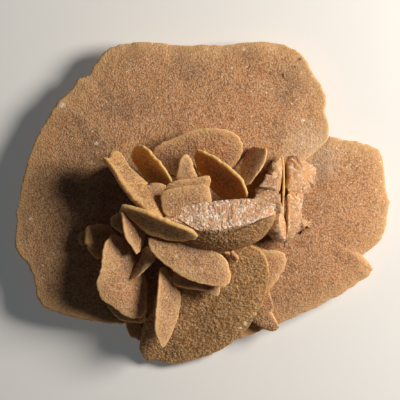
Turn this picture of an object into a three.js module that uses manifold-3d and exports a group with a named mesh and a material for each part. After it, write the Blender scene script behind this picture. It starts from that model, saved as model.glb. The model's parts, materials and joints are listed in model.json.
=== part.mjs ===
// Gypsum sand rose (desert rose): lens-shaped blades of sandy gypsum grown through each other.
// Millimetres, +Z up. The cluster lies on the worn tips of its underside blades, on z = 0.
// Every blade is one solid: its rim is a closed curve through a few points [x, y, height], and its
// two faces swell from the thin rim to the full thickness in the middle.

import * as THREE from 'three';
import Module from 'manifold-3d';

const wasm = await Module();
wasm.setup();

// Driving dimensions
const GAP = 0.3;              // room left between blades that grow into each other
const RIM = 0.9;              // thickness of a blade's edge
const RINGS = [0.68, 1];      // how far out the rings of each face lie
const SWELL = 0.8;            // how full a face is between rim and middle
const RIM_STEPS = 20;         // facets around a small blade
const CLEAN = 0.02;           // detail below this is dropped after a cut
const HUGE = 400;             // side of the block that a break or the floor cuts away

// Colours of the three finishes
const SAND = { color: 0xc29066, roughness: 0.9 };   // face crusted with sand grains
const AMBER = { color: 0xa9783f, roughness: 0.7 };  // thin blade that lets light through
const BROKEN = { color: 0xe0b795, roughness: 0.6 }; // fresh break, pale and glittering

// The two wide plates that everything else grows on
const BASE_PLATES = [
  {
    name: 'base_plate_left', finish: SAND, thick: 4.6, rim: 1.6, steps: 84,
    edge: [
      [-22.9, 38.7, 6.6], [-14.6, 39.8, 6.4], [-1, 39.2, 6.2], [12.6, 39.8, 6.2], [21, 39.6, 6],
      [25.2, 36.9, 6], [27, 34, 6], [28.4, 31.2, 6], [30, 29.2, 5.9], [30.8, 26.6, 5.9],
      [30.8, 23.4, 5.9], [31.5, 20, 5.8], [32.1, 16, 5.8], [28, 12.4, 5.9], [23.4, 8, 6], [17, -5, 6],
      [12, -20, 6], [0, -26, 6], [-12, -28, 6.2], [-19.6, -30.5, 6.4], [-26, -30.2, 6.6],
      [-37, -27.4, 7], [-39.8, -26, 7.1], [-41, -24, 7.2], [-41.9, -19.8, 7.3], [-43, -16, 7.3],
      [-46.2, -12.8, 7.3], [-46.6, -8, 7.3], [-46.2, -5.4, 7.3], [-47.2, -3.2, 7.3], [-46, -1.6, 7.3],
      [-45.4, 3, 7.2], [-43.6, 10.2, 7.2], [-42.1, 14.4, 7.1], [-40.2, 18, 7], [-38.4, 21.4, 7],
      [-35.9, 25, 7], [-33.4, 26.8, 6.9], [-31.2, 30.2, 6.8], [-28, 31.8, 6.8], [-25.8, 35.4, 6.7],
    ],
  },
  {
    name: 'base_plate_right', finish: SAND, thick: 4.6, rim: 1.6, steps: 60,
    edge: [
      [31.4, 16.4, 5.6], [35.4, 15.3, 5.4], [38.4, 15, 5.2], [41.6, 14.2, 5], [44.6, 12.7, 4.8],
      [45.6, 8.2, 4.7], [46.1, 3.5, 4.7], [47.2, 0.2, 4.6], [46.9, -1.8, 4.6], [45.9, -6.7, 4.6],
      [45.1, -8.7, 4.6], [43, -11.6, 4.7], [40.2, -13.4, 4.8], [42.2, -15.4, 4.7], [43, -17.4, 4.7],
      [39.6, -20, 4.8], [36.6, -22.2, 4.9], [31.1, -25.4, 5.1], [26.6, -27.4, 5.3], [21.6, -29.6, 5.4],
      [18.6, -30.6, 5.5], [12, -27, 5.8], [9, -18, 6], [13, -5, 6], [20, 7, 6], [26, 12.6, 5.8],
    ],
  },
];

// The ridge in front, the broken wall across the middle and the blades behind it
const CENTRE = [
  {
    name: 'curved_ridge', finish: AMBER, thick: 2.4, steps: 26,
    edge: [
      [-20.2, -0.6, 21.8], [-17.1, -1.2, 23], [-13.4, -2.4, 23.6], [-9.6, -3.9, 23.9], [-4.8, -6, 23.6],
      [-0.9, -7.8, 22.4], [-0.8, -9, 20.6], [-4.6, -9.7, 19], [-9, -9.2, 18.4], [-13.6, -7.6, 18.2],
      [-17.4, -4.4, 18.6], [-20, -1.8, 20],
    ],
  },
  {
    name: 'centre_wall', finish: BROKEN, thick: 6.6, rim: 1.4, steps: 28,
    edge: [
      [-10.4, -4.6, 23], [-6, -1, 25.6], [5, 2, 28.4], [14, 1.6, 27.4], [18.4, -2, 24],
      [17.4, -6.2, 20], [14.6, -9.4, 16.4], [6, -12.4, 13.2], [-4, -11.4, 14.6], [-8.8, -8, 18],
    ],
    broken: { at: [8, -3, 23.4], up: [-0.08, 0.12, 1] },
  },
  {
    name: 'centre_disc', finish: SAND, thick: 2.6,
    edge: [
      [-9.8, 2.4, 21.2], [-10.1, -0.8, 21.6], [-9, -3.6, 22], [-5, -3.4, 21.8], [-0.6, -2.6, 21.6],
      [2.6, -0.4, 21], [2, 2.8, 20.8], [1.6, 4.4, 20.6], [-1.6, 4.2, 20.6], [-6, 3.8, 20.8],
    ],
  },
  {
    name: 'centre_ledge', finish: SAND, thick: 2.4,
    edge: [
      [-9.2, 3.4, 18], [-8.4, 4.6, 18.4], [-5.9, 5.5, 18.8], [-2, 6, 18.8], [2.2, 6.6, 18.6],
      [2.6, 4.6, 17.8], [0.4, 1.6, 17], [-5, 0.6, 17], [-9, 1, 17.2],
    ],
  },
  {
    name: 'inner_chip', finish: SAND, thick: 2, steps: 16,
    edge: [
      [-13.8, 4.2, 17.6], [-11.4, 4.8, 18], [-9, 4.4, 18.2], [-9.6, 2, 18], [-10.4, 0.4, 18.4],
      [-12, -0.4, 18.6], [-13.4, 1.6, 18.2],
    ],
  },
  {
    name: 'back_tooth', finish: SAND, thick: 2.2,
    edge: [
      [-6, 5, 17.2], [-6.2, 7.8, 19], [-5.8, 9.6, 19.8], [-5.2, 11, 20], [-3.9, 12.2, 19.8],
      [-2.5, 10.6, 18.6], [-1.8, 8.8, 17.4], [-1, 5.2, 15.6],
    ],
  },
  {
    name: 'back_fan', finish: SAND, thick: 3.2, steps: 28,
    edge: [
      [-12.8, 12, 11.8], [-10.9, 14.2, 13.4], [-7.9, 15.6, 14], [-4.9, 17, 14.6], [-1.9, 18.2, 15],
      [2.9, 18.5, 15], [7.4, 17.8, 14.6], [9.6, 16, 13.6], [10.5, 13.6, 12.4], [9.2, 10, 10.4],
      [4, 6.4, 8.6], [-4, 6, 8.6], [-10, 8, 9.6],
    ],
  },
  {
    name: 'amber_fin', finish: AMBER, thick: 2.2, steps: 24,
    edge: [
      [-1.2, 13.2, 18.2], [2.1, 11.9, 19.8], [5.1, 10.1, 20.6], [7.6, 8.1, 21], [9.9, 5.9, 21.2],
      [11, 3.6, 21], [11.6, 1.6, 19.4], [9.6, 0.4, 15], [6, 0.6, 11.6], [2.6, 3.2, 9.6],
      [-0.6, 7.6, 10], [-1.8, 11, 13.6],
    ],
  },
  {
    name: 'upper_left_fin', finish: AMBER, thick: 2, steps: 22,
    edge: [
      [-17, 13.8, 15.4], [-15.8, 14.3, 17], [-14.2, 13.8, 18], [-12.4, 12.1, 18.6], [-10.1, 9.6, 19],
      [-8.4, 7.5, 18.8], [-7.4, 5, 17.4], [-8.6, 3.6, 13.6], [-11.4, 4, 10.4], [-14.6, 6.8, 9.2],
      [-17.2, 10.6, 11],
    ],
  },
];

// The blades that lean out of the left side of the rosette, and the two upright ones that carry it
const LEFT = [
  {
    name: 'long_left_blade', finish: AMBER, thick: 2.8, rim: 1.3, steps: 28,
    edge: [
      [-24.6, 10.9, 19.4], [-23.3, 10.6, 18.4], [-22.5, 12.6, 17.4], [-20.9, 12.4, 16.6],
      [-19.7, 10.9, 16.4], [-18.2, 8.4, 16.6], [-15.8, 6.4, 16.8], [-12.9, 3.6, 17.2], [-9.4, -0.6, 18],
      [-8, -3.4, 19.4], [-10.6, -3.8, 21.4], [-14.2, -1.8, 22.6], [-17.4, 1.1, 22.8],
      [-20.3, 4.9, 22.2], [-22.8, 9, 20.8],
    ],
  },
  {
    name: 'left_upright', finish: SAND, thick: 3, rim: 1.2, steps: 24,
    edge: [
      [-22.4, 9.2, 13], [-21.4, 8.2, 18], [-18.6, 5.2, 20], [-15, 1.4, 20.4], [-11.8, -2, 19.6],
      [-11, -2.8, 15], [-12, -1.8, 9.4], [-16, 2.4, 6.8], [-21, 7.8, 7.6],
    ],
  },
  {
    name: 'heart_blade', finish: SAND, thick: 3.4, rim: 1.2, steps: 24,
    edge: [
      [-9.6, -1.4, 13], [-8, -1.6, 18.4], [-2, -2, 20.4], [6, -2.2, 20.4], [13, -2.2, 19],
      [16.2, -2, 13], [12, -1.4, 8], [0, -1, 6.8], [-8, -1, 8],
    ],
  },
  {
    name: 'narrow_left_blade', finish: SAND, thick: 2.2, steps: 22,
    edge: [
      [-19.9, -1.6, 20.6], [-19.8, -3.6, 21], [-19.5, -6.2, 20.8], [-18.9, -9, 20],
      [-17.4, -11.4, 18.8], [-15.9, -13.4, 17.4], [-14.9, -12, 15.6], [-14.2, -9.6, 14.4],
      [-14, -7.4, 14.2], [-15.2, -5, 15.2], [-17.4, -2.4, 17.6],
    ],
  },
  {
    name: 'left_leaf', finish: SAND, thick: 3.2, steps: 30,
    edge: [
      [-22.4, -8.1, 16.6], [-23.7, -9.2, 17.4], [-24.5, -10.8, 17.8], [-25, -14.8, 17.8],
      [-25.7, -18.5, 17.2], [-26.1, -22.4, 16.2], [-24.6, -24.8, 14.8], [-22, -26.6, 13.2],
      [-19, -28.5, 11.6], [-16.4, -29.3, 10.4], [-14.4, -28.6, 9.6], [-13.6, -24.6, 9.4],
      [-13.8, -20, 10], [-16.4, -14.6, 11.8], [-18.8, -10, 13.8], [-20, -8.4, 15],
    ],
  },
  {
    name: 'left_back_leaf', finish: SAND, thick: 2.4, steps: 20,
    edge: [
      [-28.5, -6.2, 12.6], [-29.2, -8.6, 13.2], [-29, -10.2, 13.2], [-27.6, -12.8, 12.8],
      [-26.6, -14.3, 12.2], [-24.2, -14.4, 10.6], [-22, -11.6, 9.2], [-21.6, -8, 9.2],
      [-23.4, -5.8, 10],
    ],
  },
  {
    name: 'left_edge_chip', finish: SAND, thick: 1.8, steps: 14,
    edge: [
      [-31.2, -7.6, 10.8], [-31.1, -10, 11], [-29.8, -11.3, 10.4], [-28.6, -10.4, 9.6],
      [-28.6, -8, 9.6], [-30, -6.9, 10.2],
    ],
  },
  {
    name: 'left_inner_chip', finish: SAND, thick: 1.8, steps: 14,
    edge: [
      [-22.4, -3.2, 17.8], [-22.6, -5.4, 18], [-21, -7.4, 17.4], [-17.6, -7.4, 16.6], [-16, -4.2, 16.8],
      [-19.2, -2.4, 17.6],
    ],
  },
  {
    name: 'left_lower_ledge', finish: SAND, thick: 2.4, steps: 20,
    edge: [
      [-24.2, -25, 9.8], [-23.2, -27, 9.4], [-21.6, -28.8, 9], [-19.8, -30, 8.6], [-17, -30.6, 8.2],
      [-14.4, -30.2, 7.8], [-13.4, -26.6, 8.2], [-16.4, -23, 9], [-21, -22.4, 9.6],
    ],
  },
  {
    name: 'small_front_fin', finish: SAND, thick: 1.7, steps: 20,
    edge: [
      [-13.2, -10.8, 16.4], [-11.4, -13.9, 16.4], [-13.4, -16.5, 15.8], [-15, -18, 15.2],
      [-16.7, -19.3, 14.4], [-17.3, -18.4, 13.6], [-16.6, -16.4, 13], [-15.2, -13.8, 13],
      [-14.4, -11.6, 14],
    ],
  },
];

// The blades that lean out of the front of the rosette
const FRONT = [
  {
    name: 'front_leaf', finish: SAND, thick: 2.6, steps: 34,
    edge: [
      [-13.5, -8.9, 17.6], [-8.4, -9.8, 16.8], [-3.4, -10.8, 16.4], [1.6, -12, 16], [4.7, -12.9, 15.8],
      [6.7, -15.6, 15.8], [7.5, -19, 16.2], [6.1, -21.4, 16.8], [3.4, -21.1, 17.2], [-0.2, -20.6, 17.6],
      [-4.6, -18.9, 18], [-7.9, -16.6, 18.3], [-10.9, -14.2, 18.4], [-12.8, -12, 18.2],
    ],
  },
  {
    name: 'front_leaf_chip', finish: SAND, thick: 1.6, steps: 14,
    edge: [
      [5.6, -12, 15.6], [7.4, -12.2, 15.6], [8.4, -13.6, 15.6], [9, -15, 15.4], [8.2, -15.4, 15],
      [7, -13.8, 14.8],
    ],
  },
  {
    name: 'under_leaf', finish: SAND, thick: 2, steps: 24,
    edge: [
      [-7.7, -19.2, 13.8], [-6.9, -20.8, 13.8], [-4.1, -21.8, 13.8], [0.4, -22.2, 13.8],
      [3.2, -23.7, 13.8], [4.3, -23.7, 13.8], [5.2, -21.6, 13.8], [4.8, -18.6, 13.8], [-0.4, -17, 14],
      [-6, -17, 14],
    ],
  },
  {
    name: 'pointed_front_blade', finish: SAND, thick: 2.6, steps: 30,
    edge: [
      [-10.8, -21, 16.2], [-11.2, -24.4, 16.2], [-11.5, -28, 15.4], [-11.7, -32.4, 13.8],
      [-10.7, -35.2, 11.8], [-9.9, -36.8, 10], [-9, -36, 9], [-7.5, -33, 8.6], [-5.9, -29.4, 9.2],
      [-5.2, -26.4, 10.2], [-5.2, -23.4, 11.2], [-6.4, -20.6, 12.4], [-8, -17.6, 13.8],
      [-10, -15.8, 15.2],
    ],
  },
  {
    name: 'lower_front_plate', finish: AMBER, thick: 4, rim: 1.4, steps: 56,
    edge: [
      [-15, -35.4, 3.6], [-15, -37.4, 2.8], [-13.4, -39.4, 1.9], [-11.7, -39.7, 1.8],
      [-10.9, -38.9, 2.1], [-9.4, -40, 1.7], [-6.4, -40.1, 1.6], [-2.1, -39.2, 1.8], [2.9, -37.6, 2.4],
      [6.4, -35.6, 3.2], [9.9, -32.8, 4.6], [12.1, -30, 6], [14.1, -27, 7.6], [15.6, -22.8, 9.8],
      [16.5, -18.4, 11.8], [16.1, -15.6, 13], [14.4, -12.2, 14.4], [8, -11, 14.4], [0, -13, 13.6],
      [-6, -16, 12.2], [-9.6, -20, 10.4], [-12, -26, 7.8], [-14, -31, 5.6],
    ],
  },
];

// The broken stumps around a cross blade, and the low lobes on the right side
const RIGHT = [
  {
    name: 'right_cross_blade', finish: AMBER, thick: 1.6, steps: 24,
    edge: [
      [20.2, 11.4, 11.8], [20.5, 9, 14.2], [20.6, 5, 15.6], [20.4, 0, 17], [20.2, -5, 15.8],
      [20.2, -8.6, 13.2], [20.4, -9.8, 10.6], [20.4, -6, 6], [20.2, 2, 5.4], [19.8, 8.6, 6.4],
      [19.8, 11.4, 9],
    ],
  },
  {
    name: 'right_stump_core', finish: BROKEN, thick: 8.4, rim: 2.6, steps: 24,
    edge: [
      [14, 2.4, 19], [17, 1.4, 19.2], [20.1, 1.2, 18], [20.3, -2.4, 18], [20.4, -6, 17],
      [20.5, -9.2, 14.4], [19.1, -9.8, 14], [17.8, -8.9, 15.4], [16.9, -7.2, 17], [15, -5.4, 18.4],
      [13.6, -1, 19.4],
    ],
  },
  {
    name: 'right_stump_left', finish: BROKEN, thick: 6.4, rim: 1.8, steps: 24,
    edge: [
      [17.6, 9.4, 13.4], [18.6, 10.3, 13], [19.6, 11, 12.4], [20, 9, 13.8], [20.2, 5.2, 15.2],
      [20.2, 1.4, 17], [16, 0.8, 17], [13.6, 2.4, 16.6], [15.4, 4.2, 15.4], [16.6, 6.6, 14.2],
    ],
  },
  {
    name: 'right_stump_back', finish: BROKEN, thick: 6, rim: 1.8, steps: 24,
    edge: [
      [21.6, 10.6, 12.6], [23.6, 9.6, 11.8], [25.4, 8.6, 11], [27.2, 7.4, 10], [26.7, 5.6, 9.8],
      [26.9, 3.9, 9.8], [24.6, 2.8, 11.4], [22.1, 1.6, 13.8], [20.7, 3.2, 15], [20.8, 6.6, 14.2],
    ],
  },
  {
    name: 'right_stump_front', finish: BROKEN, thick: 6, rim: 1.6, steps: 28,
    edge: [
      [20.8, 2.4, 15.6], [23.8, 2.4, 12.8], [24.6, 1.4, 11.8], [23.6, -0.4, 12.6], [23.5, -2.6, 12.2],
      [25, -3.6, 10.8], [27.2, -4.7, 9.4], [25.2, -5.5, 10], [23.4, -6, 11], [21.8, -7.2, 11.8],
      [20.6, -9.8, 11.6], [20, -6, 14.6], [20, -2, 16.2],
    ],
  },
  {
    name: 'right_crescent', finish: SAND, thick: 2.2, steps: 24,
    edge: [
      [14.4, 14, 11.6], [16.2, 13.6, 13.6], [16.5, 12, 15], [15.5, 9, 16.2], [13.7, 6.5, 16.8],
      [11.4, 3.8, 16.6], [10, 4.8, 14.6], [9.6, 7.4, 11.2], [10.4, 11, 8.2], [12.4, 13.6, 8.2],
    ],
  },
  {
    name: 'right_front_lobe', finish: SAND, thick: 2.6, steps: 24,
    edge: [
      [13.8, -11.8, 10], [16.6, -12, 10.2], [20.4, -12.5, 9.8], [21.5, -14.4, 9.4], [20.7, -17.4, 9],
      [19.4, -19.2, 8.8], [16.8, -22, 8.6], [14, -21.6, 8.8], [12.6, -17, 9.6],
    ],
  },
  {
    name: 'right_front_tongue', finish: SAND, thick: 2.4, steps: 24,
    edge: [
      [16.2, -21.6, 8.6], [17.1, -24, 8.2], [17.9, -27.8, 7.4], [19.4, -31.2, 6.4], [18.9, -32, 6.2],
      [17.4, -32.1, 6.2], [13.4, -30.1, 6.4], [11.6, -28.4, 5.6], [11.4, -24, 6.4], [13.6, -21, 8],
    ],
  },
];

// The blades below the plates; the longest ones are worn flat where the cluster rests
const UNDERSIDE = [
  {
    name: 'keel_blade', finish: SAND, thick: 4.6, rim: 1.6, steps: 30,
    edge: [
      [-20, -5, 5.5], [-19, -7.4, 3], [-14.6, -9.4, 1], [-7, -10.8, -0.2], [0, -11.4, -0.3],
      [7, -10.8, 0.4], [14, -9.2, 1.7], [19.4, -7, 3.5], [20.6, -5.4, 5.5], [8, -4.4, 7], [-8, -4.4, 7],
    ],
  },
  {
    name: 'left_foot_blade', finish: SAND, thick: 3.6, rim: 1.4, steps: 28,
    edge: [
      [-23, 17, 6], [-26, 15.6, 3.3], [-28.6, 11, 1], [-29.8, 4, -0.3], [-29.6, -2, -0.2], [-28, -8, 1],
      [-25.4, -13, 3.2], [-22.6, -15.4, 6], [-21, -5, 7], [-21.4, 8, 7],
    ],
  },
  {
    name: 'right_foot_blade', finish: SAND, thick: 3.6, rim: 1.4, steps: 28,
    edge: [
      [20.4, 15, 5.8], [23.6, 13.4, 3], [26.4, 8.6, 0.8], [27.6, 2, -0.3], [27.2, -4, -0.2],
      [25.6, -10, 1.1], [23, -15.4, 3.2], [20.4, -18, 5.5], [18.8, -6, 6.5], [19, 6, 6.5],
    ],
  },
  {
    name: 'back_foot_blade', finish: SAND, thick: 3.6, rim: 1.4, steps: 28,
    edge: [
      [-17, 18.6, 6], [-15, 22, 3], [-9.6, 25, 0.7], [-3, 26.2, -0.3], [3, 26, -0.2], [9, 24.4, 1.1],
      [13.4, 21.4, 3.3], [15.4, 18, 6], [5, 16.8, 7], [-7, 16.6, 7],
    ],
  },
  {
    name: 'under_cross_blade', finish: SAND, thick: 3.2, rim: 1.2, steps: 24,
    edge: [
      [-3, 17, 5.5], [-5, 14, 3], [-6.2, 8, 1.4], [-5.8, 1, 1.5], [-4.4, -3.6, 3.5], [-2.6, -4.4, 6.5],
      [-1.2, 4, 7], [-1.4, 12, 7],
    ],
  },
  {
    name: 'under_front_left', finish: SAND, thick: 3, steps: 28,
    edge: [
      [-19.2, -30.4, 4.3], [-18.4, -33.2, 3.8], [-16.9, -34.7, 3.5], [-14, -35, 3.2], [-9, -31.6, 2.7],
      [-5, -25, 2.9], [-5, -18, 4.2], [-9, -13.6, 5.5], [-15, -15, 5.8], [-19, -22, 5.3],
    ],
  },
  {
    name: 'under_front_right', finish: SAND, thick: 3, steps: 28,
    edge: [
      [16.2, -31.6, 4.3], [12.4, -33.6, 3.7], [8.6, -34.5, 3.2], [3, -31, 2.5], [1, -24, 2.7],
      [3, -17, 4], [9, -14, 5.5], [15, -18, 5.7], [18.6, -26, 5],
    ],
  },
  {
    name: 'under_left_petal', finish: SAND, thick: 2.8, steps: 24,
    edge: [
      [-27, 9, 5.7], [-32, 8, 4.4], [-36.4, 3, 3.5], [-37, -5, 3.3], [-33.6, -12, 3.8], [-28, -15.6, 5],
      [-24.6, -10, 5.9], [-24, 0, 6],
    ],
  },
  {
    name: 'under_right_petal', finish: SAND, thick: 2.8, steps: 24,
    edge: [
      [24.4, 9, 5.5], [29.4, 9.4, 4.1], [34, 5, 3.1], [35, -3, 2.8], [32, -10.6, 3.2], [27, -14.6, 4.5],
      [23.6, -8, 5.5], [22.6, 1, 5.7],
    ],
  },
  {
    name: 'under_back_petal', finish: SAND, thick: 2.8, steps: 24,
    edge: [
      [-11, 22, 5.7], [-10.4, 27.6, 4.5], [-5, 31.8, 3.6], [2.6, 32.6, 3.4], [8.6, 29.4, 3.9],
      [11, 24, 5.2], [6, 20, 5.9], [-4, 19.6, 6],
    ],
  },
  {
    name: 'under_back_left', finish: SAND, thick: 2.6, steps: 24,
    edge: [
      [-12, 18, 5.5], [-17.6, 18.4, 3.7], [-22.4, 14, 2.3], [-21.4, 7.4, 2.4], [-16, 3.4, 3.7],
      [-9.6, 4.8, 5.4], [-8, 11.6, 5.8],
    ],
  },
  {
    name: 'under_back_right', finish: SAND, thick: 2.6, steps: 24,
    edge: [
      [3, 14, 5.6], [7, 17.6, 4.5], [13.4, 17, 2.6], [17.6, 11, 1.9], [15.4, 4.4, 2.6], [8.6, 1.6, 4.4],
      [3, 5, 5.6],
    ],
  },
];

// A closed mesh in three arrays: both faces as rings around a middle point, and the rim between them
function bladeMesh({ edge, thick, rim = RIM, steps = RIM_STEPS }, grow) {
  const curve = new THREE.CatmullRomCurve3(edge.map((point) => new THREE.Vector3(...point)), true);
  const around = curve.getSpacedPoints(steps).slice(0, steps);
  const middle = new THREE.Vector3();
  around.forEach((point) => middle.addScaledVector(point, 1 / steps));
  const normal = new THREE.Vector3();
  around.forEach((point, i) => {
    const a = point.clone().sub(middle);
    const b = around[(i + 1) % steps].clone().sub(middle);
    normal.add(a.cross(b));
  });
  normal.normalize();
  around.forEach((point) => point.addScaledVector(point.clone().sub(middle).normalize(), grow));

  const vertices = [];
  const triangles = [];
  const halfThickness = (r) => rim / 2 + grow + ((thick - rim) / 2) * (1 - r * r) ** SWELL;
  for (const side of [1, -1]) {
    const first = vertices.length / 3;
    const middlePoint = middle.clone().addScaledVector(normal, side * halfThickness(0));
    vertices.push(...middlePoint.toArray());
    for (const r of RINGS) {
      for (const point of around) {
        const on = middle.clone().lerp(point, r).addScaledVector(normal, side * halfThickness(r));
        vertices.push(...on.toArray());
      }
    }
    for (let i = 0; i < steps; i += 1) {
      const next = (i + 1) % steps;
      addTriangle(triangles, side, first, first + 1 + i, first + 1 + next);
      for (let ring = 1; ring < RINGS.length; ring += 1) {
        const inner = first + 1 + (ring - 1) * steps;
        const outer = inner + steps;
        addTriangle(triangles, side, inner + i, outer + i, outer + next);
        addTriangle(triangles, side, inner + i, outer + next, inner + next);
      }
    }
  }
  const faceSize = 1 + RINGS.length * steps;
  const topRim = 1 + (RINGS.length - 1) * steps;
  for (let i = 0; i < steps; i += 1) {
    const next = (i + 1) % steps;
    const [a, b] = [topRim + i, topRim + next];
    addTriangle(triangles, 1, a, a + faceSize, b + faceSize);
    addTriangle(triangles, 1, a, b + faceSize, b);
  }
  return { vertices, triangles };
}

// One triangle, turned round on the side that faces the other way
function addTriangle(triangles, side, a, b, c) {
  triangles.push(...(side > 0 ? [a, b, c] : [a, c, b]));
}

function toSolid({ vertices, triangles }) {
  return new wasm.Manifold(new wasm.Mesh({
    numProp: 3,
    vertProperties: new Float32Array(vertices),
    triVerts: new Uint32Array(triangles),
  }));
}

// Everything on the far side of the plane through `at`, as a huge block standing on that plane
function blockAbove(at, up) {
  const block = new THREE.BoxGeometry(HUGE, HUGE, HUGE);
  block.translate(0, 0, HUGE / 2);
  const turn = new THREE.Quaternion().setFromUnitVectors(
    new THREE.Vector3(0, 0, 1), new THREE.Vector3(...up).normalize());
  block.applyQuaternion(turn);
  block.translate(...at);
  return geometryToSolid(block);
}

// A box geometry has four vertices a side; its corners are shared again here
function geometryToSolid(geometry) {
  const position = geometry.getAttribute('position');
  const index = geometry.getIndex();
  const corners = new Map();
  const vertices = [];
  const shared = (i) => {
    const point = [position.getX(i), position.getY(i), position.getZ(i)];
    const key = point.map((value) => value.toFixed(3)).join(' ');
    if (!corners.has(key)) {
      corners.set(key, vertices.length / 3);
      vertices.push(...point);
    }
    return corners.get(key);
  };
  const triangles = Array.from(index.array, shared);
  return toSolid({ vertices, triangles });
}

const ground = blockAbove([0, 0, 0], [0, 0, -1]);

// A blade as it grew, with its broken top and its worn foot taken off
function grownBlade(spec, grow = 0) {
  let solid = toSolid(bladeMesh(spec, grow));
  if (spec.broken) {
    const [x, y, z] = spec.broken.at;
    solid = solid.subtract(blockAbove([x, y, z + grow], spec.broken.up));
  }
  return solid.subtract(ground);
}

function largestPiece(solid) {
  const pieces = solid.decompose();
  return pieces.reduce((best, piece) => (piece.volume() > best.volume() ? piece : best));
}

function toGeometry(solid) {
  const { vertProperties, triVerts } = solid.getMesh();
  const geometry = new THREE.BufferGeometry();
  geometry.setAttribute('position', new THREE.BufferAttribute(new Float32Array(vertProperties), 3));
  geometry.setIndex(new THREE.BufferAttribute(new Uint32Array(triVerts), 1));
  geometry.computeVertexNormals();
  return geometry;
}

// Builds the blades in order. Each later blade stops a gap short of the earlier ones it grows into.
function buildRose(groups) {
  const rose = new THREE.Group();
  const earlier = [];
  for (const blades of groups) {
    const cluster = new THREE.Group();
    for (const spec of blades) {
      let solid = grownBlade(spec);
      for (const neighbour of earlier) solid = solid.subtract(neighbour);
      solid = largestPiece(solid).simplify(CLEAN);
      earlier.push(grownBlade(spec, GAP));
      const material = new THREE.MeshStandardMaterial({ ...spec.finish, metalness: 0 });
      const mesh = new THREE.Mesh(toGeometry(solid), material);
      mesh.name = spec.name;
      cluster.add(mesh);
    }
    rose.add(cluster);
  }
  return rose;
}

// Centres the rose over the origin and stands it on z = 0
function standOnOrigin(rose) {
  const box = new THREE.Box3().setFromObject(rose);
  const centre = box.getCenter(new THREE.Vector3());
  rose.position.set(-centre.x, -centre.y, -box.min.z);
  rose.updateMatrixWorld(true);
  return rose;
}

export default standOnOrigin(buildRose([BASE_PLATES, CENTRE, LEFT, FRONT, RIGHT, UNDERSIDE]));
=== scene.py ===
"""Gypsum sand rose: sandy lens-shaped crystal blades grown through each other, lying on their worn tips.

Each packed blade says where its crystal lies, how far it reaches and how thick it is. The crystal that
stands for it is worked out from that as one closed surface: two faces on a grid that is bent round into
the blade's outline, and a band round the rim between them. Sand grains, a nibbled rim and fresh breaks
are then pressed into that surface. Crystals are worked out in millimetres and their meshes are in metres,
as are the studio's lengths.
"""

import json
import logging
import math
from abc import ABC, abstractmethod
from dataclasses import dataclass
from enum import Enum, IntEnum

import bpy
import numpy as np
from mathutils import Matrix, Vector


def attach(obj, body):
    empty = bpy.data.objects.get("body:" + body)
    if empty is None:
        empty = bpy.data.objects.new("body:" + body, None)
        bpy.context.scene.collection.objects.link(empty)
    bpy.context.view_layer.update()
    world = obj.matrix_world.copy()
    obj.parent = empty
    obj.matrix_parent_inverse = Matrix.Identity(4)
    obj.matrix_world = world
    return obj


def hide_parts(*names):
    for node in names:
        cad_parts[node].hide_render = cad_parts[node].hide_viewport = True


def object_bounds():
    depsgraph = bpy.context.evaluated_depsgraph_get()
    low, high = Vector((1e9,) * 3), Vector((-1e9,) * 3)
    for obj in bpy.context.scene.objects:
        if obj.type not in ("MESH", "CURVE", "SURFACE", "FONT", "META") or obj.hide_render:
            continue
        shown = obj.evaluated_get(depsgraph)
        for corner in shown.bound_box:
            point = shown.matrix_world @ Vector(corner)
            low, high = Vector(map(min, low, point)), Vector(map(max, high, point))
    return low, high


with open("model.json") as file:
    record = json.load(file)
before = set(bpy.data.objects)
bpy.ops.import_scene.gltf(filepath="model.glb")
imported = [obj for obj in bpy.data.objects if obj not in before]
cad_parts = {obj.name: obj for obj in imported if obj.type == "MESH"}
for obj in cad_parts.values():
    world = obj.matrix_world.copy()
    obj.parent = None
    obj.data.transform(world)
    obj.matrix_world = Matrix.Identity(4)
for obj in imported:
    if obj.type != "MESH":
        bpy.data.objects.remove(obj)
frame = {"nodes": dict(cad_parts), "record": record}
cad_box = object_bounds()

log = logging.getLogger("sand_rose")
Array = np.ndarray
Socket = bpy.types.NodeSocket
Colour = tuple[float, float, float, float] | Socket

MM = 0.001                  # one millimetre in metres
BODY = "root"               # the one body of a row with no joints


# ---------------- noise, worked out as whole arrays


def scatter(cells: Array, seed: int) -> Array:
    """Even random numbers from 0 to 1, one for each whole-number cell of a lattice.

    Formula: the three coordinates are multiplied by large primes and joined by exclusive or, then
    shifted and multiplied once more, and the low 24 bits are read as a fraction.

    Args:
        cells: whole numbers, last axis x, y, z.
        seed: picks one of many different scatterings.

    Returns:
        One number for each cell.
    """
    c = cells.astype(np.int64)
    mixed = (c[..., 0] * 73856093) ^ (c[..., 1] * 19349663) ^ (c[..., 2] * 83492791) ^ (seed * 2654435761)
    mixed = (mixed ^ (mixed >> 13)) * 1274126177
    mixed = mixed ^ (mixed >> 16)
    return (mixed & 0xFFFFFF) / 0x1000000


def soft_noise(points: Array, size: float, seed: int) -> Array:
    """Smooth noise from 0 to 1: random lattice values blended by smoothstep between the eight corners.

    Args:
        points: positions in millimetres.
        size: spacing of the lattice in millimetres.
        seed: picks the noise.

    Returns:
        One value for each point.
    """
    scaled = points / size
    cell = np.floor(scaled).astype(np.int64)
    part = scaled - cell
    blend = part * part * (3.0 - 2.0 * part)
    total = np.zeros(points.shape[:-1])
    for corner in np.ndindex(2, 2, 2):
        weight = np.prod(np.where(np.array(corner) == 1, blend, 1.0 - blend), axis=-1)
        total += weight * scatter(cell + np.array(corner), seed)
    return total


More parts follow.
